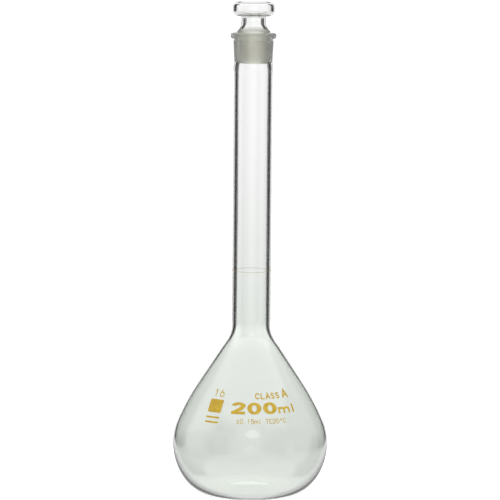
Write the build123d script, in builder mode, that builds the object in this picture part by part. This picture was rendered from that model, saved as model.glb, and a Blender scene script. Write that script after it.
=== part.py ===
"""Stoppered 200 ml volumetric flask: blown glass body, hollow ground stopper and fired enamel marks.

The frame has +Z up along the flask's axis of symmetry. Its origin is at the middle of the base, on the
surface that the flask stands on. The capacity figures face -Y.
"""

import os
from math import cos, radians, sin, tan

from build123d import *

os.makedirs("parts", exist_ok=True)

# --- Driving dimensions, in millimetres and degrees ------------------------------------------------

# Glass of the bulb and the neck
wall = 1.65
floor_thickness = 2.2

# Bulb: an elliptical heel, a round belly, a long shoulder, a straight slope and a throat
bulb_radius = 38.1
belly_height = 25.1
heel_width = 18.4
belly_arc = 28.6
belly_turn = 23.2
shoulder_arc = 117.0
shoulder_turn = 10.6
throat_arc = 14.5

# Foot: a flat standing ring round a shallow push-up in the middle of the base
kick_radius = 12.7
kick_depth = 1.2

# Neck
neck_radius = 9.37
neck_top = 211.9
seal_swell = 0.26
seal_length = 5.0
bore_lead = 3.0

# Ground socket, size 16, and the lip round its mouth
mouth_radius = 8.0
cone_taper = 1 / 10
socket_length = 14.1
socket_wall = 2.0
lip_overhang = 1.1
lip_height = 2.6
lip_round = 0.9
groove_height = 0.9
groove_depth = 0.4
mouth_chamfer = 0.3

# Hollow stopper
cone_clearance = 0.04
plug_standout = 1.1
plug_overrun = 0.4
plug_wall = 2.2
plug_round = 0.7
plug_cavity_round = 1.0
shoulder_round = 0.25
waist_step = 2.165
waist_wall = 1.75
waist_flare = 42.0
waist_ease = 0.7
waist_bore_flare = 24.0
waist_bore_arc = 4.5
head_overhang = 4.35
head_height = 7.2
head_side = 1.8
head_underside = 0.75
head_wall = 1.5
head_standoff = 7.2
head_cavity_collar = 2.0

# Fired enamel: its thickness, the graduation ring, and the marks on the shoulder of the bulb
enamel = 0.09
ring_height = 110.2
ring_width = 0.3
figures_above_belly = 19.25
figure_width = 6.9
figure_height = 5.3
figure_pitch = 14.4
figures_azimuth = 3.6
nought_side = 2.3
nought_cap = 1.2
unit_azimuth = 36.2
unit_letters = dict(width=5.2, height=3.9, nib=0.95, pitch=9.6)
class_rise = 6.7
class_azimuth = 17.6
class_letters = dict(width=2.25, height=2.8, nib=0.55, pitch=5.3)
grade_azimuth = 37.0
grade_letters = dict(width=3.4, height=3.9, nib=0.75, pitch=0)
tolerance_drop = 4.3
tolerance_azimuth = 9.5
tolerance_letters = dict(width=1.5, height=2.2, nib=0.3, pitch=3.05)
joint_size_rise = 7.0
joint_size_letters = dict(width=2.4, height=3.4, nib=0.42, pitch=7.0)
panel_azimuth = -33.5
panel_width = 7.4
panel_height = 5.9
panel_corner = 0.6
rule_drop = 2.2
rule_height = 0.8
rule_corner = 0.3

# --- Shapes shared by more than one piece ---------------------------------------------------------

socket_top = neck_top + socket_length
socket_foot_radius = mouth_radius - socket_length * cone_taper / 2
lip_radius = mouth_radius + socket_wall + lip_overhang
slope_angle = belly_turn + shoulder_turn


def bulb_side(inset, bottom):
    """Draw the bulb's side from heel to throat, inset from the outer surface, and return its ends."""
    heel_centre = (bulb_radius - heel_width, belly_height)
    heel = EllipticalCenterArc(
        heel_centre, heel_width - inset, belly_height - bottom, start_angle=270, arc_size=90
    )
    belly = JernArc(heel @ 1, (0, 1), belly_arc - inset, belly_turn)
    shoulder = JernArc(belly @ 1, belly % 1, shoulder_arc - inset, shoulder_turn)
    throat_reach = (throat_arc + inset) * (1 - cos(radians(slope_angle)))
    slope_reach = (shoulder @ 1).X - (neck_radius - inset) - throat_reach
    slope = PolarLine(
        shoulder @ 1, slope_reach / sin(radians(slope_angle)), angle=90 + slope_angle
    )
    throat = JernArc(slope @ 1, slope % 1, throat_arc + inset, -slope_angle)
    return heel @ 0, throat @ 1


# --- Bulb: base, belly, shoulder and throat --------------------------------------------------------

with BuildPart() as bulb:
    with BuildSketch(Plane.XZ):
        with BuildLine():
            outer_foot, outer_throat = bulb_side(0, 0)
            inner_foot, inner_throat = bulb_side(wall, floor_thickness)
            Line(outer_throat, inner_throat)
            Line(outer_foot, (kick_radius, 0))
            TangentArc((0, kick_depth), (kick_radius, 0), tangent=(1, 0))
            Line((0, kick_depth), (0, kick_depth + floor_thickness))
            TangentArc((0, kick_depth + floor_thickness), (kick_radius, floor_thickness), tangent=(1, 0))
            Line((kick_radius, floor_thickness), inner_foot)
        make_face()
    revolve(axis=Axis.Z)
bulb.part.label = "bulb"
export_step(bulb.part, "parts/bulb.step")

throat_top = outer_throat.Y

# --- Neck: a straight tube that swells where the socket is sealed on -------------------------------

with BuildPart() as neck:
    with BuildSketch(Plane.XZ):
        with BuildLine():
            swell_foot = (neck_radius, neck_top - seal_length)
            swell_crest = (neck_radius + seal_swell, neck_top - seal_length / 2)
            seal_edge = (socket_foot_radius + socket_wall, neck_top)
            bore_radius = neck_radius - wall
            Line((neck_radius, throat_top), swell_foot)
            Spline(swell_foot, swell_crest, seal_edge, tangents=((0, 1), (-cone_taper, 1)))
            Line(seal_edge, (socket_foot_radius, neck_top))
            Line((socket_foot_radius, neck_top), (bore_radius, neck_top - bore_lead))
            Line((bore_radius, neck_top - bore_lead), (bore_radius, throat_top))
            Line((bore_radius, throat_top), (neck_radius, throat_top))
        make_face()
    revolve(axis=Axis.Z)
neck.part.label = "neck"
export_step(neck.part, "parts/neck.step")

# --- Socket: the ground cone and its lip ----------------------------------------------------------

groove_top = socket_top - lip_height
groove_foot = groove_top - groove_height
socket_shoulder = mouth_radius + socket_wall - (socket_top - groove_foot) * cone_taper / 2

with BuildPart() as socket:
    with BuildSketch(Plane.XZ):
        with BuildLine():
            lip_line = Polyline(
                (mouth_radius, socket_top),
                (lip_radius, socket_top),
                (lip_radius, groove_top),
                (socket_shoulder - groove_depth, groove_top),
            )
            groove_line = Line(lip_line @ 1, (socket_shoulder - groove_depth, groove_foot + groove_depth))
            TangentArc(groove_line @ 1, (socket_shoulder, groove_foot), tangent=groove_line % 1)
            Line((socket_shoulder, groove_foot), (socket_foot_radius + socket_wall, neck_top))
            Line((socket_foot_radius + socket_wall, neck_top), (socket_foot_radius, neck_top))
            Line((socket_foot_radius, neck_top), (mouth_radius, socket_top))
        make_face()
        lip_corners = vertices().filter_by(lambda v: abs(v.X - lip_radius) < 1e-6)
        fillet(lip_corners, radius=lip_round)
        mouth_edge = vertices().group_by(Axis.Y)[-1].sort_by(Axis.X)[0]
        chamfer(mouth_edge, length=mouth_chamfer)
    revolve(axis=Axis.Z)
socket.part.label = "socket"
export_step(socket.part, "parts/socket.step")

# --- Stopper: a ground plug, a waist and a flat round head, blown hollow ---------------------------

plug_top = socket_top + plug_standout
plug_foot = neck_top - plug_overrun
plug_top_radius = mouth_radius + plug_standout * cone_taper / 2 - cone_clearance
plug_foot_radius = plug_top_radius - (plug_top - plug_foot) * cone_taper / 2
head_foot = plug_top + head_standoff
head_top = head_foot + head_height
waist_radius = plug_top_radius - waist_step
waist_bore = waist_radius - waist_wall
head_radius = waist_radius + head_overhang
head_round = (head_height - head_side) / 2
collar_round = head_overhang - head_round - head_underside
flare_run = waist_step / sin(radians(waist_flare))
waist_arc = waist_ease * flare_run / tan(radians(waist_flare / 2))
cavity_shoulder = plug_top - plug_wall * tan(radians(waist_bore_flare / 2))
cavity_radius = plug_top_radius - plug_wall
cavity_flare_height = (cavity_radius - waist_bore) / tan(radians(waist_bore_flare))
head_cavity_round = head_round - head_wall

with BuildPart() as stopper:
    with BuildSketch(Plane.XZ):
        with BuildLine():
            outline = FilletPolyline(
                (0, plug_foot),
                (plug_foot_radius, plug_foot),
                (plug_top_radius, plug_top),
                (waist_radius, plug_top + flare_run * cos(radians(waist_flare))),
                (waist_radius, head_foot),
                (head_radius, head_foot),
                (head_radius, head_top),
                (0, head_top),
                radius=[plug_round, shoulder_round, waist_arc, collar_round, head_round, head_round],
            )
            Line(outline @ 1, outline @ 0)
        make_face()
    revolve(axis=Axis.Z)
    with BuildSketch(Plane.XZ):
        with BuildLine():
            cavity = FilletPolyline(
                (0, plug_foot + plug_wall),
                (plug_foot_radius - plug_wall, plug_foot + plug_wall),
                (cavity_radius, cavity_shoulder),
                (waist_bore, cavity_shoulder + cavity_flare_height),
                (waist_bore, head_foot + head_wall),
                (head_radius - head_wall, head_foot + head_wall),
                (head_radius - head_wall, head_top - head_wall),
                (0, head_top - head_wall),
                radius=[
                    plug_cavity_round,
                    plug_cavity_round,
                    waist_bore_arc,
                    head_cavity_collar,
                    head_cavity_round,
                    head_cavity_round,
                ],
            )
            Line(cavity @ 1, cavity @ 0)
        make_face()
    revolve(axis=Axis.Z, mode=Mode.SUBTRACT)
stopper.part.label = "stopper"
export_step(stopper.part, "parts/stopper.step")

# --- Graduation ring: a thin fired line right round the neck ---------------------------------------

with BuildPart() as graduation_ring:
    with BuildSketch(Plane.XZ):
        with Locations((neck_radius + enamel / 2, ring_height)):
            Rectangle(enamel, ring_width)
    revolve(axis=Axis.Z)
graduation_ring.part.label = "graduation_ring"
export_step(graduation_ring.part, "parts/graduation_ring.step")

# --- Marks on the bulb: shapes cut from an enamel skin that follows the glass ----------------------

with BuildPart() as skin:
    with BuildSketch(Plane.XZ):
        with BuildLine():
            skin_foot, skin_throat = bulb_side(0, 0)
            coat_foot, coat_throat = bulb_side(-enamel, -enamel)
            Line(skin_foot, coat_foot)
            Line(skin_throat, coat_throat)
        make_face()
    revolve(axis=Axis.Z)

figures_base = belly_height + figures_above_belly
mark_depth = bulb_radius / 2


def mark_plane(azimuth, height):
    """An upright plane inside the bulb, facing out at an azimuth counted from -Y towards +X."""
    turn = radians(azimuth)
    outward = Vector(sin(turn), -cos(turn), 0)
    origin = outward * mark_depth + Vector(0, 0, height)
    return Plane(origin=origin, x_dir=(cos(turn), sin(turn), 0), z_dir=outward)


def fire_on(*sketches):
    """Carry sketches, or the ones pending, out through the glass and keep what lies in the skin."""
    for sketch in sketches or [None]:
        extrude(sketch, amount=bulb_radius + enamel - mark_depth)
    add(skin.part, mode=Mode.INTERSECT)


# Each letter is a few pen strokes on a grid 4 wide and 6 high: straight runs through points, and arcs
# given by a centre, a radius, a start angle and a sweep.
STROKES = {
    "0": ([(-2, 2), (-2, 4)], [(2, 2), (2, 4)], (0, 4, 2, 0, 180), (0, 2, 2, 180, 180)),
    "1": ([(-1.4, 4.8), (0, 6), (0, 0)],),
    "2": ((0, 4, 2, 180, -216), [(1.62, 2.82), (-2, 0), (2, 0)]),
    "5": ([(1.7, 6), (-1.6, 6), (-1.85, 3.1)], (0, 2, 2, 145, -300)),
    "6": ((0, 2, 2, 0, 360), (3, 2, 5, 180, -52)),
    "A": ([(-2.1, 0), (0, 6), (2.1, 0)], [(-1.4, 2), (1.4, 2)]),
    "C": ((0, 4, 2, 25, 155), [(-2, 4), (-2, 2)], (0, 2, 2, 180, 155)),
    "L": ([(-1.6, 6), (-1.6, 0), (1.7, 0)],),
    "S": ((0, 4.5, 1.5, 25, 245), (0, 1.5, 1.5, 90, -245)),
    "T": ([(-2, 6), (2, 6)], [(0, 6), (0, 0)]),
    "m": (
        [(-2.6, 0), (-2.6, 4)],
        (-1.3, 2.7, 1.3, 180, -180),
        [(0, 2.7), (0, 0)],
        (1.3, 2.7, 1.3, 180, -180),
        [(2.6, 2.7), (2.6, 0)],
    ),
    "l": ([(0, 0), (0, 6)],),
    ".": ([(0, 0), (0, 0.3)],),
    "°": ((0, 4.9, 1.1, 0, 360),),
    "±": ([(0, 1.7), (0, 5.3)], [(-1.8, 3.5), (1.8, 3.5)], [(-1.8, 0), (1.8, 0)]),
}


def letter(character, plane, width, height, nib):
    """Draw one letter that stands on the plane's x axis, its grid scaled to a width and a height."""
    across = (width - nib) / 4
    up = (height - nib) / 6
    with BuildSketch(plane) as drawn:
        for stroke in STROKES[character]:
            with BuildLine() as run:
                if isinstance(stroke, list):
                    Polyline([(x * across, y * up + nib / 2) for x, y in stroke])
                else:
                    x, y, radius, start_angle, sweep = stroke
                    EllipticalCenterArc(
                        (x * across, y * up + nib / 2),
                        radius * across,
                        radius * up,
                        start_angle=start_angle,
                        arc_size=sweep,
                    )
            trace(line_width=nib)
            with Locations(run.line @ 0, run.line @ 1):
                Circle(nib / 2)
    return drawn.sketch


def lettering(text, azimuth, base, width, height, nib, pitch):
    """Draw a row of letters centred on an azimuth, one pitch of the bulb's turn apart."""
    first = azimuth - pitch * (len(text) - 1) / 2
    planes = [mark_plane(first + place * pitch, base) for place in range(len(text))]
    return [letter(c, plane, width, height, nib) for c, plane in zip(text, planes) if c != " "]


# Outline of the bold figure 2: across in half widths from its middle, up in heights from its foot
TWO = {
    "elbow": (-0.1, 0.23),
    "bar_right": (1, 0.23),
    "foot_right": (1, 0),
    "foot_left": (-1, 0),
    "bar_left": (-1, 0.23),
    "inner_waist": (-0.2, 0.462),
    "inner_right": (0.33, 0.7),
    "inner_crown": (0, 0.77),
    "inner_left": (-0.36, 0.7),
    "outer_left": (-1, 0.7),
    "outer_right": (1, 0.7),
    "outer_waist": (0.72, 0.462),
}

# Capacity figures: wide and bold, with heavy sides
with BuildPart() as capacity_figures:
    with BuildSketch(mark_plane(figures_azimuth - figure_pitch, figures_base)):
        with BuildLine():
            spot = {name: (x * figure_width / 2, y * figure_height) for name, (x, y) in TWO.items()}
            Polyline([spot[name] for name in ("elbow", "bar_right", "foot_right", "foot_left", "bar_left")])
            ThreePointArc(spot["bar_left"], spot["inner_waist"], spot["inner_right"])
            ThreePointArc(spot["inner_right"], spot["inner_crown"], spot["inner_left"])
            Line(spot["inner_left"], spot["outer_left"])
            bowl = spot["outer_right"][1]
            EllipticalCenterArc(
                (0, bowl), figure_width / 2, figure_height - bowl, start_angle=180, arc_size=-180
            )
            ThreePointArc(spot["outer_right"], spot["outer_waist"], spot["elbow"])
        make_face()
    noughts = [mark_plane(figures_azimuth + place * figure_pitch, figures_base) for place in (0, 1)]
    with BuildSketch(*noughts):
        with Locations((0, figure_height / 2)):
            Ellipse(figure_width / 2, figure_height / 2)
            Ellipse(figure_width / 2 - nought_side, figure_height / 2 - nought_cap, mode=Mode.SUBTRACT)
    fire_on()
capacity_figures.part.label = "capacity_figures"
export_step(capacity_figures.part, "parts/capacity_figures.step")

# Capacity unit
with BuildPart() as capacity_unit:
    fire_on(*lettering("ml", unit_azimuth, figures_base, **unit_letters))
capacity_unit.part.label = "capacity_unit"
export_step(capacity_unit.part, "parts/capacity_unit.step")

# Accuracy class: a word, and a larger letter after it
with BuildPart() as class_mark:
    word = lettering("CLASS", class_azimuth, figures_base + class_rise, **class_letters)
    grade = lettering("A", grade_azimuth, figures_base + class_rise, **grade_letters)
    fire_on(*word, *grade)
class_mark.part.label = "class_mark"
export_step(class_mark.part, "parts/class_mark.step")

# Tolerance and calibration temperature
with BuildPart() as tolerance_mark:
    tolerance_base = figures_base - tolerance_drop
    fire_on(*lettering("±0.15ml TC20°C", tolerance_azimuth, tolerance_base, **tolerance_letters))
tolerance_mark.part.label = "tolerance_mark"
export_step(tolerance_mark.part, "parts/tolerance_mark.step")

# Stopper size
with BuildPart() as joint_size_mark:
    fire_on(*lettering("16", panel_azimuth, figures_base + joint_size_rise, **joint_size_letters))
joint_size_mark.part.label = "joint_size_mark"
export_step(joint_size_mark.part, "parts/joint_size_mark.step")

# Writing panel, and the two plain rules under it
with BuildPart() as writing_panel:
    with BuildSketch(mark_plane(panel_azimuth, figures_base)):
        with Locations((0, panel_height / 2)):
            RectangleRounded(panel_width, panel_height, panel_corner)
    fire_on()
writing_panel.part.label = "writing_panel"
export_step(writing_panel.part, "parts/writing_panel.step")

rule_planes = [mark_plane(panel_azimuth, figures_base - row * rule_drop) for row in (1, 2)]
with BuildPart() as panel_rules:
    with BuildSketch(*rule_planes):
        RectangleRounded(panel_width, rule_height, rule_corner)
    fire_on()
panel_rules.part.label = "panel_rules"
export_step(panel_rules.part, "parts/panel_rules.step")
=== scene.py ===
from math import atan2, ceil, cos, degrees, hypot, pi, radians, sin, tan

import bmesh
import bpy
from mathutils import Matrix, Vector


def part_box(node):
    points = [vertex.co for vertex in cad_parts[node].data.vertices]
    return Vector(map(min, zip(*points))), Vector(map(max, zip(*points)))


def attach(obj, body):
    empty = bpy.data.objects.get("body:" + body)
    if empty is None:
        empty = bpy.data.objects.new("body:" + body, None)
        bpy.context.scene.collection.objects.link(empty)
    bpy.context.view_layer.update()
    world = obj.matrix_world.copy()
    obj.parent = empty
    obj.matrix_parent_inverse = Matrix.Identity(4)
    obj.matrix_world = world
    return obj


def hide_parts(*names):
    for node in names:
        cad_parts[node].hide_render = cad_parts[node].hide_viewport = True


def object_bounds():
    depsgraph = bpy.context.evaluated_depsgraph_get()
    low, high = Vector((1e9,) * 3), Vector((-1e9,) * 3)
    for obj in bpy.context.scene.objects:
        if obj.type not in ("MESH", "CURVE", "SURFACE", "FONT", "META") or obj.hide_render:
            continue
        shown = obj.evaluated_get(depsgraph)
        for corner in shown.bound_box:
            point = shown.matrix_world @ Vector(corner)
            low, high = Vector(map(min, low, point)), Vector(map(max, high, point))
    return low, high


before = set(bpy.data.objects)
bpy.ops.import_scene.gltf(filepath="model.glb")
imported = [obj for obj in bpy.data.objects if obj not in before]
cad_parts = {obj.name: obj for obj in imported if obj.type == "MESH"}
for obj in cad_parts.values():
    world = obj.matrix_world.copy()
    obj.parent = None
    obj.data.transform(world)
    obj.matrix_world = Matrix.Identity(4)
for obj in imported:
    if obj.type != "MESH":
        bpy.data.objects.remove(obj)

cad_low, cad_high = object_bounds()
scene = bpy.context.scene

# --- Camera ---------------------------------------------------------------------------------------
# A long lens in front of the flask, a little above the top of the stopper and pitched down at the neck.
# The flask leans very slightly to the right in it, so the camera is rolled by the same amount.
eye = Vector((0, -1.3617, 0.2931))
pitch_down = 7.24
roll = 0.49
yaw_left = 0.036
camera = bpy.data.objects.new("camera", bpy.data.cameras.new("camera"))
camera.data.lens = 202
camera.data.sensor_width = 36
camera.data.clip_start = 0.05
camera.matrix_world = (
    Matrix.Translation(eye)
    @ Matrix.Rotation(radians(yaw_left), 4, "Z")
    @ Matrix.Rotation(radians(90 - pitch_down), 4, "X")
    @ Matrix.Rotation(radians(roll), 4, "Z")
)
scene.collection.objects.link(camera)
scene.camera = camera

# --- Studio ---------------------------------------------------------------------------------------
# Clear glass is lit from behind. A broad bright screen stands behind the flask and softer ones beside
# and before it, and dark flags round the first two draw its edges. The rest comes from above and below.
scene.view_settings.view_transform = "Standard"
scene.cycles.max_bounces = 32
scene.cycles.transmission_bounces = 28
scene.cycles.glossy_bounces = 12
scene.cycles.transparent_max_bounces = 16

# Of each screen, in degrees: where it stands, and how far to each side it is bright and has faded out.
screens = ((90, 19, 22.5), (180, 8, 32), (315, 9, 32), (270, 4, 40))
flagged_screens = 2
screen_light = 1.02
screen_full_height = -3
screen_foot_light = 0.72
screen_foot_height = -13
screen_foot_spread = 0.1
spread_start = -8
spread_end = -12
flag_edge = 54
flag_fade = 8
flag_light = 0.03
room_light = 0.3
table_light = 0.75
table_start = -9
table_end = -15
ceiling_light = 1.3
ceiling_start = 32
ceiling_end = 42
paper_light = 1.06

world = bpy.data.worlds.new("studio")
world.use_nodes = True
scene.world = world
sky = world.node_tree
sky.nodes.clear()


def add_node(tree, kind, feeds=None, **settings):
    """Add a shader node with its settings. Links and plain values go to the inputs that feeds names."""
    node = tree.nodes.new(kind)
    for name, value in settings.items():
        setattr(node, name, value)
    for name, value in (feeds or {}).items():
        if isinstance(value, bpy.types.NodeSocket):
            tree.links.new(value, node.inputs[name])
        else:
            node.inputs[name].default_value = value
    return node


def sky_math(operation, first, second):
    """Join two values of the sky by a sum, a product or a maximum."""
    return add_node(sky, "ShaderNodeMath", {0: first, 1: second}, operation=operation).outputs[0]


def sky_ramp(value, low, high, start, end):
    """Carry a light smoothly from start to end while a value goes from low to high."""
    feeds = {"Value": value, "From Min": low, "From Max": high, "To Min": start, "To Max": end}
    return add_node(sky, "ShaderNodeMapRange", feeds, interpolation_type="SMOOTHSTEP").outputs["Result"]


def by_height(low, high, start, end):
    """Carry a light from start to end between two heights, in degrees above the horizon."""
    return sky_ramp(height, sin(radians(low)), sin(radians(high)), start, end)


def by_turn(nearness, wide, narrow, start, end):
    """Carry a light from start to end between two angles to the middle of a screen."""
    return sky_ramp(nearness, cos(radians(wide)), cos(radians(narrow)), start, end)


direction = add_node(sky, "ShaderNodeTexCoord").outputs["Generated"]
parts = add_node(sky, "ShaderNodeSeparateXYZ", {0: direction})
height = parts.outputs["Z"]
level = add_node(sky, "ShaderNodeCombineXYZ", {"X": parts.outputs["X"], "Y": parts.outputs["Y"]})
bearing = add_node(sky, "ShaderNodeVectorMath", {0: level.outputs[0]}, operation="NORMALIZE")

backdrop = by_height(screen_foot_height, screen_full_height, screen_foot_light, screen_light)
spread = by_height(spread_end, spread_start, screen_foot_spread, 0)
table = by_height(table_end, table_start, table_light, 0)
ceiling = by_height(ceiling_start, ceiling_end, 0, ceiling_light)
brightness = sky_math("MAXIMUM", table, ceiling)
flagged = None
for number, (azimuth, bright_half, dark_half) in enumerate(screens):
    middle = (cos(radians(azimuth)), sin(radians(azimuth)), 0)
    facing = {0: bearing.outputs[0], 1: middle}
    share = add_node(sky, "ShaderNodeVectorMath", facing, operation="DOT_PRODUCT").outputs["Value"]
    nearness = sky_math("ADD", share, spread)
    screen = by_turn(nearness, dark_half, bright_half, 0, 1)
    brightness = sky_math("MAXIMUM", brightness, sky_math("MULTIPLY", screen, backdrop))
    if number < flagged_screens:
        flagged = nearness if flagged is None else sky_math("MAXIMUM", flagged, nearness)
room = by_turn(flagged, flag_edge + flag_fade, flag_edge, room_light, flag_light)
brightness = sky_math("MAXIMUM", brightness, room)
seen_straight = add_node(sky, "ShaderNodeLightPath").outputs["Is Camera Ray"]
paper = sky_math("MULTIPLY", seen_straight, paper_light)
brightness = sky_math("MAXIMUM", brightness, paper)
background = add_node(sky, "ShaderNodeBackground", {"Color": (1, 1, 1, 1), "Strength": brightness})
add_node(sky, "ShaderNodeOutputWorld", {"Surface": background.outputs[0]})

softbox_distance = 0.9
softbox_rise = 29
softbox_turn = 4
softbox = bpy.data.objects.new("softbox", bpy.data.lights.new("softbox", "AREA"))
softbox.data.shape = "ELLIPSE"
softbox.data.size = 0.34
softbox.data.size_y = 0.2
softbox.data.energy = 0.2
aim = Vector((0, 0, 0.04))
away = Vector(
    (
        sin(radians(softbox_turn)) * cos(radians(softbox_rise)),
        -cos(radians(softbox_turn)) * cos(radians(softbox_rise)),
        sin(radians(softbox_rise)),
    )
)
softbox.rotation_mode = "QUATERNION"
softbox.rotation_quaternion = away.to_track_quat("Z", "Y")
softbox.location = aim + away * softbox_distance
scene.collection.objects.link(softbox)

# --- Floor ----------------------------------------------------------------------------------------
# A plain pale table top, round and wide enough to lie under the flask from every side. The glass
# doesn't show it, because what the glass shows of the table is part of the studio's light.
floor_radius = 0.55
floor_segments = 96
floor_drop = 0.00006
floor_mesh = bmesh.new()
floor_rim = []
for segment in range(floor_segments):
    angle = 2 * pi * segment / floor_segments
    floor_rim.append(floor_mesh.verts.new((floor_radius * cos(angle), floor_radius * sin(angle), 0)))
floor_mesh.faces.new(floor_rim)
floor = bpy.data.objects.new("floor", bpy.data.meshes.new("floor"))
floor_mesh.to_mesh(floor.data)
floor_mesh.free()
floor.location.z = cad_low.z - floor_drop
scene.collection.objects.link(floor)

table_top = bpy.data.materials.new("table_top")
table_top.use_nodes = True
table_shader = table_top.node_tree.nodes["Principled BSDF"]
table_shader.inputs["Base Color"].default_value = (0.93, 0.93, 0.93, 1)
table_shader.inputs["Roughness"].default_value = 0.9
table_shader.inputs["Specular IOR Level"].default_value = 0
table_shader.inputs["Emission Color"].default_value = (1, 1, 1, 1)
table_shader.inputs["Emission Strength"].default_value = 0.7
floor.data.materials.append(table_top)
floor.visible_transmission = False
floor.visible_glossy = False

# --- Flask: bulb, neck and socket -----------------------------------------------------------------
# One piece of clear borosilicate glass. The bulb is blown from the end of a drawn tube, and the socket
# with its thick lip is sealed on at the top, ground inside to a cone.
mm = 0.001
wall = 1.65 * mm
floor_thickness = 2.2 * mm
bulb_radius = 38.1 * mm
belly_height = 25.1 * mm
heel_width = 18.4 * mm
belly_arc = 28.6 * mm
belly_turn = 23.2
shoulder_arc = 117.0 * mm
shoulder_turn = 10.6
throat_arc = 14.5 * mm
kick_radius = 12.7 * mm
kick_depth = 1.2 * mm
neck_radius = 9.37 * mm
neck_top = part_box("neck")[1].z
seal_swell = 0.26 * mm
seal_length = 5.0 * mm
seal_foot_share = 1.625
seal_lean = 0.75
bore_lead = 3.0 * mm
mouth_radius = 8.0 * mm
cone_taper = 1 / 10
socket_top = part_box("socket")[1].z
socket_wall = 2.0 * mm
lip_overhang = 1.1 * mm
lip_height = 2.6 * mm
lip_round = 0.9 * mm
groove_height = 0.9 * mm
groove_depth = 0.4 * mm
groove_round = 0.5 * mm
mouth_round = 0.3 * mm
edge_round = 0.1 * mm
lead_round = 2.0 * mm
ground_rise = 0.75 * mm
belly_thinning = 0.4 * mm
wander_depth = 0.015 * mm
wander_fade = 8.0 * mm
oval_twist = 31
lobe_share = 0.6
lobe_twist = 47
lobe_start = 1.3
enamel_bed = 0.012 * mm

lathe_turns = 224
arc_step = 2.2
longest_run = 1.7 * mm
kick_steps = 14
seal_steps = 10
sharpest_smooth = 32
axis_width = 1e-7


def carry_on(line, heading, radius, turn):
    """Carry a line on round an arc, to the left where the turn is positive, and return its new heading."""
    side = 90 if turn > 0 else -90
    x, z = line[-1]
    centre_x = x + radius * cos(radians(heading + side))
    centre_z = z + radius * sin(radians(heading + side))
    by_angle = abs(turn) / arc_step
    by_length = radius * radians(abs(turn)) / longest_run
    steps = max(2, ceil(max(by_angle, by_length)))
    for step in range(1, steps + 1):
        angle = radians(heading - side + turn * step / steps)
        line.append((centre_x + radius * cos(angle), centre_z + radius * sin(angle)))
    return heading + turn


def run_to(line, end):
    """Carry a line straight on to a point, with points between."""
    x, z = line[-1]
    steps = max(1, ceil(hypot(end[0] - x, end[1] - z) / longest_run))
    for step in range(1, steps + 1):
        share = step / steps
        line.append((x + (end[0] - x) * share, z + (end[1] - z) * share))


def rounded(corners, radii):
    """A line through corners, each but the first and the last rounded by its radius."""
    line = [corners[0]]
    for before, corner, after, radius in zip(corners, corners[1:], corners[2:], radii):
        way_in = degrees(atan2(corner[1] - before[1], corner[0] - before[0]))
        way_out = degrees(atan2(after[1] - corner[1], after[0] - corner[0]))
        turn = (way_out - way_in + 180) % 360 - 180
        reach = radius * tan(radians(abs(turn) / 2))
        run_to(line, (corner[0] - reach * cos(radians(way_in)), corner[1] - reach * sin(radians(way_in))))
        carry_on(line, way_in, radius, turn)
    run_to(line, corners[-1])
    return line


def bulb_side(inset, bottom):
    """The bulb's side from heel to throat, inset from the outer surface, with its heel at bottom."""
    heel_centre = bulb_radius - heel_width
    steps = ceil(90 / arc_step)
    line = []
    for step in range(steps + 1):
        angle = radians(90 * step / steps)
        radius = heel_centre + (heel_width - inset) * sin(angle)
        line.append((radius, belly_height - (belly_height - bottom) * cos(angle)))
    heading = carry_on(line, 90, belly_arc - inset, belly_turn)
    heading = carry_on(line, heading, shoulder_arc - inset, shoulder_turn)
    slope_angle = radians(belly_turn + shoulder_turn)
    throat_reach = (throat_arc + inset) * (1 - cos(slope_angle))
    slope_reach = line[-1][0] - (neck_radius - inset) - throat_reach
    run_to(line, (line[-1][0] - slope_reach, line[-1][1] + slope_reach / tan(slope_angle)))
    carry_on(line, heading, throat_arc + inset, -degrees(slope_angle))
    return line


def thinned(line):
    """The inner line moved out towards the belly, where the blown glass is thinnest."""
    moved = [line[0]]
    for before, place, after in zip(line, line[1:], line[2:]):
        along = Vector(after) - Vector(before)
        rise = min(1, (place[1] - line[0][1]) / belly_height)
        fall = min(1, (line[-1][1] - place[1]) / (belly_height / 2))
        out = Vector((along.y, -along.x)).normalized() * belly_thinning * sin(pi / 2 * min(rise, fall)) ** 2
        moved.append((place[0] + out.x, place[1] + out.y))
    return moved + [line[-1]]


def kick(floor_height):
    """The push-up in the middle of the base, from the axis out, as a soft crown."""
    shares = [step / kick_steps for step in range(kick_steps + 1)]
    return [(kick_radius * share, floor_height + kick_depth * (1 + cos(pi * share)) / 2) for share in shares]


def seal_bulge(start, end):
    """The slight swelling where the socket is sealed to the neck, fuller below than above."""
    line = []
    for step in range(1, seal_steps + 1):
        share = step / seal_steps
        bulge = seal_swell * sin(pi * share) ** 2 * (seal_foot_share - seal_lean * share)
        ease = share * share * (3 - 2 * share)
        line.append((start[0] + (end[0] - start[0]) * ease + bulge, start[1] + (end[1] - start[1]) * share))
    return line


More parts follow.
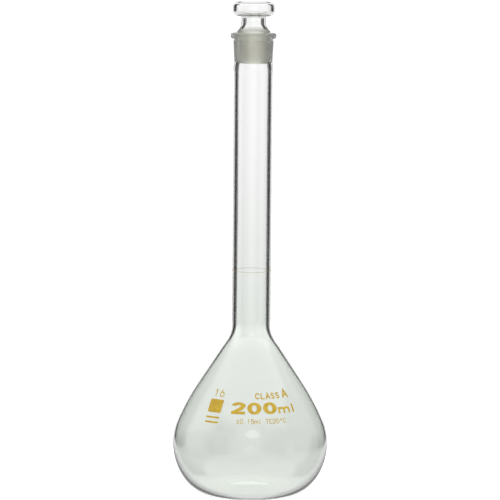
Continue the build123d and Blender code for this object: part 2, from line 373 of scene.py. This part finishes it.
def turn_on_lathe(name, outlines, ground, drift):
    """Turn closed outlines into a solid of glass. Ground faces take the second material."""
    solid = bmesh.new()
    for outline, inward in outlines:
        rings = []
        for radius, height in outline:
            if radius < axis_width:
                rings.append([solid.verts.new((0, 0, height))] * lathe_turns)
                continue
            ring = []
            for turn in range(lathe_turns):
                angle = 2 * pi * turn / lathe_turns
                reach = radius + drift(radius, height, angle)
                ring.append(solid.verts.new((reach * cos(angle), reach * sin(angle), height)))
            rings.append(ring)
        for low, high, a, b in zip(rings, rings[1:], outline, outline[1:]):
            middle = ((a[0] + b[0]) / 2, (a[1] + b[1]) / 2)
            for turn in range(lathe_turns):
                after = (turn + 1) % lathe_turns
                loop = [low[turn], low[after], high[after], high[turn]]
                corners = list(dict.fromkeys(reversed(loop) if inward else loop))
                face = solid.faces.new(corners)
                face.smooth = True
                face.material_index = int(ground(*middle))
    mesh = bpy.data.meshes.new(name)
    solid.to_mesh(mesh)
    solid.free()
    mesh.set_sharp_from_angle(angle=radians(sharpest_smooth))
    piece = bpy.data.objects.new(name, mesh)
    scene.collection.objects.link(piece)
    return piece


throat_top = bulb_side(0, 0)[-1][1]
inner_side = thinned(bulb_side(wall, floor_thickness))
bore_radius = neck_radius - wall
socket_foot_radius = mouth_radius - (socket_top - neck_top) * cone_taper / 2
lip_radius = mouth_radius + socket_wall + lip_overhang
groove_top = socket_top - lip_height
groove_foot = groove_top - groove_height
socket_shoulder = mouth_radius + socket_wall - (socket_top - groove_foot) * cone_taper / 2
groove_radius = socket_shoulder - groove_depth

flask_line = kick(-enamel_bed)
outer_side = bulb_side(-enamel_bed, -enamel_bed)
run_to(flask_line, outer_side[0])
flask_line += outer_side[1:]
run_to(flask_line, (neck_radius + enamel_bed, neck_top - seal_length))
flask_line += seal_bulge(flask_line[-1], (socket_foot_radius + socket_wall, neck_top))
socket_line = rounded(
    [
        (socket_foot_radius + socket_wall, neck_top),
        (socket_shoulder, groove_foot),
        (groove_radius, groove_foot),
        (groove_radius, groove_top),
        (lip_radius, groove_top),
        (lip_radius, socket_top),
        (mouth_radius, socket_top),
        (socket_foot_radius, neck_top),
        (bore_radius, neck_top - bore_lead),
        (bore_radius, throat_top),
    ],
    [edge_round, groove_round, edge_round, lip_round, lip_round, mouth_round, lead_round, lead_round],
)
flask_line += socket_line[1:]
flask_line += inner_side[-2::-1]
run_to(flask_line, (kick_radius, floor_thickness))
flask_line += kick(floor_thickness)[-2::-1]


def in_ground_socket(radius, height):
    """True on the ground cone inside the socket, and on the flat top of its lip."""
    cone = height > neck_top + ground_rise and radius < mouth_radius + mouth_round
    lip_top = height > socket_top - lip_round / 3
    return cone or lip_top


def in_flask_bore(radius, height):
    """True on the inner surface of the bulb and of the neck."""
    if height > throat_top:
        return radius < neck_radius - wall / 2
    nearest = min(inner_side, key=lambda point: hypot(point[0] - radius, point[1] - height))
    return hypot(nearest[0] - radius, nearest[1] - height) < wall / 3


def blown_wall(radius, height, angle):
    """How far the blown inner surface wanders from a true circle."""
    inner = height > floor_thickness and radius < bulb_radius - wall / 2 and in_flask_bore(radius, height)
    if not inner:
        return 0
    oval = sin(2 * angle + oval_twist * height)
    lobes = lobe_share * sin(3 * angle - lobe_twist * height + lobe_start)
    fade = min(1, max(0, (neck_top - bore_lead * 2 - height) / wander_fade))
    return wander_depth * (oval + lobes) * fade


flask_glass = turn_on_lathe("flask_glass", [(flask_line, False)], in_ground_socket, blown_wall)
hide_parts("bulb", "neck", "socket")
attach(flask_glass, "flask")

glass_index = 1.473
cord_depth = 0.2 * mm
ground_tint = (0.965, 0.965, 0.885, 1)
ground_roughness = 0.5
ground_scratches = 900
ground_clearness = 0.94
grit_strength = 0.25
grit_depth = 0.05 * mm


def new_group(name, takes, gives):
    """Start a node group whose inputs and outputs are named with their kinds, Color or Float."""
    group = bpy.data.node_groups.new(name, "ShaderNodeTree")
    for way, sockets in (("INPUT", takes), ("OUTPUT", gives)):
        for label, kind in sockets.items():
            group.interface.new_socket(label, in_out=way, socket_type="NodeSocket" + kind)
    return group, add_node(group, "NodeGroupInput").outputs


def surface_material(name, group, values, relief_strength, relief_depth):
    """A material whose colour, roughness and fine relief come from a node group with these values."""
    material = bpy.data.materials.new(name)
    material.use_nodes = True
    tree = material.node_tree
    surface = add_node(tree, "ShaderNodeGroup", values, node_tree=group).outputs
    relief = {"Height": surface["Height"], "Strength": relief_strength, "Distance": relief_depth}
    shader = tree.nodes["Principled BSDF"].inputs
    tree.links.new(surface["Color"], shader["Base Color"])
    if "Roughness" in surface:
        tree.links.new(surface["Roughness"], shader["Roughness"])
    tree.links.new(add_node(tree, "ShaderNodeBump", relief).outputs[0], shader["Normal"])
    return material, shader


melt, melt_in = new_group(
    "glass_melt",
    {
        "Upper Tint": "Color",
        "Lower Tint": "Color",
        "Upper Height": "Float",
        "Lower Height": "Float",
        "Cords": "Float",
    },
    {"Color": "Color", "Height": "Float"},
)
melt_place = add_node(melt, "ShaderNodeTexCoord").outputs["Object"]
melt_parts = add_node(melt, "ShaderNodeSeparateXYZ", {"Vector": melt_place})
melt_rise = add_node(
    melt,
    "ShaderNodeMapRange",
    {
        "Value": melt_parts.outputs["Z"],
        "From Min": melt_in["Lower Height"],
        "From Max": melt_in["Upper Height"],
    },
)
melt_tint = add_node(
    melt,
    "ShaderNodeMix",
    {"Factor": melt_rise.outputs["Result"], "A": melt_in["Lower Tint"], "B": melt_in["Upper Tint"]},
    data_type="RGBA",
)
melt_stretch = add_node(melt, "ShaderNodeMapping", {"Vector": melt_place, "Scale": (1, 1, 0.12)})
melt_cords = add_node(
    melt,
    "ShaderNodeTexNoise",
    {"Vector": melt_stretch.outputs[0], "Scale": melt_in["Cords"], "Detail": 1.5, "Roughness": 0.4},
)
add_node(melt, "NodeGroupOutput", {"Color": melt_tint.outputs["Result"], "Height": melt_cords.outputs["Fac"]})


def clear_glass_material(name, upper, lower, heights, cords, waviness):
    """Clear drawn glass: faint upright cords in the surface, and a tint that deepens downwards."""
    values = {
        "Upper Tint": upper,
        "Lower Tint": lower,
        "Upper Height": heights[1],
        "Lower Height": heights[0],
        "Cords": cords,
    }
    material, shader = surface_material(name, melt, values, waviness, cord_depth)
    shader["Transmission Weight"].default_value = 1
    shader["Metallic"].default_value = 0
    shader["Roughness"].default_value = 0
    shader["IOR"].default_value = glass_index
    return material


grind, grind_in = new_group(
    "ground_cone",
    {"Ground Color": "Color", "Scratches": "Float", "Roughness": "Float"},
    {"Color": "Color", "Roughness": "Float", "Height": "Float"},
)
grind_place = add_node(grind, "ShaderNodeTexCoord").outputs["Object"]
grind_stretch = add_node(grind, "ShaderNodeMapping", {"Vector": grind_place, "Scale": (0.25, 0.25, 3)})
grind_lines = add_node(
    grind,
    "ShaderNodeTexNoise",
    {"Vector": grind_stretch.outputs[0], "Scale": grind_in["Scratches"], "Detail": 4, "Roughness": 0.7},
)
grind_grit = add_node(grind, "ShaderNodeTexNoise", {"Vector": grind_place, "Scale": 5200, "Detail": 2})
grind_cloud = add_node(grind, "ShaderNodeTexNoise", {"Vector": grind_place, "Scale": 260, "Detail": 2})
grind_height = add_node(
    grind,
    "ShaderNodeMath",
    {0: grind_lines.outputs["Fac"], 1: grind_grit.outputs["Fac"]},
    operation="ADD",
)
grind_shade = add_node(
    grind,
    "ShaderNodeMapRange",
    {"Value": grind_cloud.outputs["Fac"], "From Min": 0.3, "From Max": 0.7, "To Min": 0.9, "To Max": 1.05},
).outputs[0]
grind_color = add_node(
    grind, "ShaderNodeVectorMath", {0: grind_in["Ground Color"], "Scale": grind_shade}, operation="SCALE"
)
grind_rough = add_node(
    grind, "ShaderNodeMath", {0: grind_in["Roughness"], 1: grind_shade}, operation="MULTIPLY"
)
add_node(
    grind,
    "NodeGroupOutput",
    {"Color": grind_color.outputs[0], "Roughness": grind_rough.outputs[0], "Height": grind_height.outputs[0]},
)


def ground_glass_material(name):
    """Glass ground with wet grit: a fine matt grey with faint lines round the cone."""
    values = {"Ground Color": ground_tint, "Scratches": ground_scratches, "Roughness": ground_roughness}
    material, shader = surface_material(name, grind, values, grit_strength, grit_depth)
    shader["Transmission Weight"].default_value = ground_clearness
    shader["Metallic"].default_value = 0
    shader["IOR"].default_value = glass_index
    return material


flask_glass.data.materials.append(
    clear_glass_material(
        "borosilicate_glass",
        upper=(0.974, 0.977, 0.974, 1),
        lower=(0.955, 0.985, 0.95, 1),
        heights=(0.05, 0.16),
        cords=90,
        waviness=0.008,
    )
)
flask_glass.data.materials.append(ground_glass_material("ground_socket"))

# --- Marks: graduation ring, figures, lettering, panel and rules ----------------------------------
# Amber ceramic enamel, screen printed on the cold glass and fired in, so that it stands a hair proud.
# It is glossy, a little uneven in thickness and darker where it pooled. The ring is a far thinner coat.
thin_amber = (0.58, 0.4, 0.024, 1)
thick_amber = (0.44, 0.27, 0.008, 1)
ring_cover = 0.2
enamel_strength = 0.15
enamel_depth = 0.03 * mm

coat, coat_in = new_group(
    "fired_coat",
    {"Thin Color": "Color", "Thick Color": "Color"},
    {"Color": "Color", "Roughness": "Float", "Height": "Float"},
)
coat_place = add_node(coat, "ShaderNodeTexCoord").outputs["Object"]
coat_pool = add_node(coat, "ShaderNodeTexNoise", {"Vector": coat_place, "Scale": 420, "Detail": 3})
coat_grain = add_node(coat, "ShaderNodeTexNoise", {"Vector": coat_place, "Scale": 5200, "Detail": 2})
coat_share = add_node(
    coat, "ShaderNodeMapRange", {"Value": coat_pool.outputs["Fac"], "From Min": 0.3, "From Max": 0.72}
)
coat_color = add_node(
    coat,
    "ShaderNodeMix",
    {"Factor": coat_share.outputs[0], "A": coat_in["Thick Color"], "B": coat_in["Thin Color"]},
    data_type="RGBA",
)
coat_gloss = add_node(
    coat, "ShaderNodeMapRange", {"Value": coat_grain.outputs["Fac"], "To Min": 0.22, "To Max": 0.42}
)
add_node(
    coat,
    "NodeGroupOutput",
    {
        "Color": coat_color.outputs["Result"],
        "Roughness": coat_gloss.outputs[0],
        "Height": coat_grain.outputs["Fac"],
    },
)


def enamel_material(name, cover):
    """Amber enamel that hides a share of the glass under it."""
    values = {"Thin Color": thin_amber, "Thick Color": thick_amber}
    material, shader = surface_material(name, coat, values, enamel_strength, enamel_depth)
    shader["Alpha"].default_value = cover
    return material


full_coat = enamel_material("amber_enamel", 1)
thin_coat = enamel_material("amber_enamel_thin", ring_cover)
marks = (
    "graduation_ring",
    "capacity_figures",
    "capacity_unit",
    "class_mark",
    "tolerance_mark",
    "joint_size_mark",
    "writing_panel",
    "panel_rules",
)
for mark in marks:
    mark_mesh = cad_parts[mark].data
    mark_mesh.materials.clear()
    mark_mesh.materials.append(thin_coat if mark == "graduation_ring" else full_coat)

# --- Stopper --------------------------------------------------------------------------------------
# A hollow stopper of clear glass, blown and sealed off under its plug, which is ground to the same
# cone as the socket. It is lifted straight out by its flat round head.
plug_foot, head_top = (corner.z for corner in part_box("stopper"))
cone_clearance = 0.04 * mm
plug_standout = 1.1 * mm
plug_wall = 2.2 * mm
plug_round = 0.7 * mm
plug_cavity_round = 1.0 * mm
shoulder_round = 0.25 * mm
waist_step = 2.165 * mm
waist_wall = 1.75 * mm
waist_flare = 42
waist_ease = 0.7
waist_bore_flare = 24
waist_bore_arc = 4.5 * mm
head_overhang = 4.35 * mm
head_height = 7.2 * mm
head_side = 1.8 * mm
head_underside = 0.75 * mm
head_wall = 1.5 * mm
head_cavity_collar = 2.0 * mm

plug_top = socket_top + plug_standout
plug_top_radius = mouth_radius + plug_standout * cone_taper / 2 - cone_clearance
plug_foot_radius = plug_top_radius - (plug_top - plug_foot) * cone_taper / 2
head_foot = head_top - head_height
waist_radius = plug_top_radius - waist_step
waist_bore = waist_radius - waist_wall
head_radius = waist_radius + head_overhang
head_round = (head_height - head_side) / 2
collar_round = head_overhang - head_round - head_underside
flare_run = waist_step / sin(radians(waist_flare))
waist_arc = waist_ease * flare_run / tan(radians(waist_flare / 2))
cavity_shoulder = plug_top - plug_wall * tan(radians(waist_bore_flare / 2))
cavity_radius = plug_top_radius - plug_wall
cavity_flare_height = (cavity_radius - waist_bore) / tan(radians(waist_bore_flare))
head_cavity_round = head_round - head_wall
stopper_line = rounded(
    [
        (0, plug_foot),
        (plug_foot_radius, plug_foot),
        (plug_top_radius, plug_top),
        (waist_radius, plug_top + flare_run * cos(radians(waist_flare))),
        (waist_radius, head_foot),
        (head_radius, head_foot),
        (head_radius, head_top),
        (0, head_top),
    ],
    [plug_round, shoulder_round, waist_arc, collar_round, head_round, head_round],
)
cavity_line = rounded(
    [
        (0, plug_foot + plug_wall),
        (plug_foot_radius - plug_wall, plug_foot + plug_wall),
        (cavity_radius, cavity_shoulder),
        (waist_bore, cavity_shoulder + cavity_flare_height),
        (waist_bore, head_foot + head_wall),
        (head_radius - head_wall, head_foot + head_wall),
        (head_radius - head_wall, head_top - head_wall),
        (0, head_top - head_wall),
    ],
    [
        plug_cavity_round,
        plug_cavity_round,
        waist_bore_arc,
        head_cavity_collar,
        head_cavity_round,
        head_cavity_round,
    ],
)


def on_ground_plug(radius, height):
    """True on the ground cone of the plug."""
    cone = plug_top_radius - (plug_top - height) * cone_taper / 2
    return neck_top + ground_rise < height < plug_top and abs(radius - cone) < cone_clearance / 4


stopper_glass = turn_on_lathe(
    "stopper_glass", [(stopper_line, False), (cavity_line, True)], on_ground_plug, lambda *place: 0
)
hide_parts("stopper")
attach(stopper_glass, "stopper")
stopper_glass.data.materials.append(
    clear_glass_material(
        "stopper_glass",
        upper=(0.98, 0.985, 0.98, 1),
        lower=(0.97, 0.98, 0.965, 1),
        heights=(plug_foot, head_top),
        cords=200,
        waviness=0.05,
    )
)
stopper_glass.data.materials.append(ground_glass_material("ground_plug"))
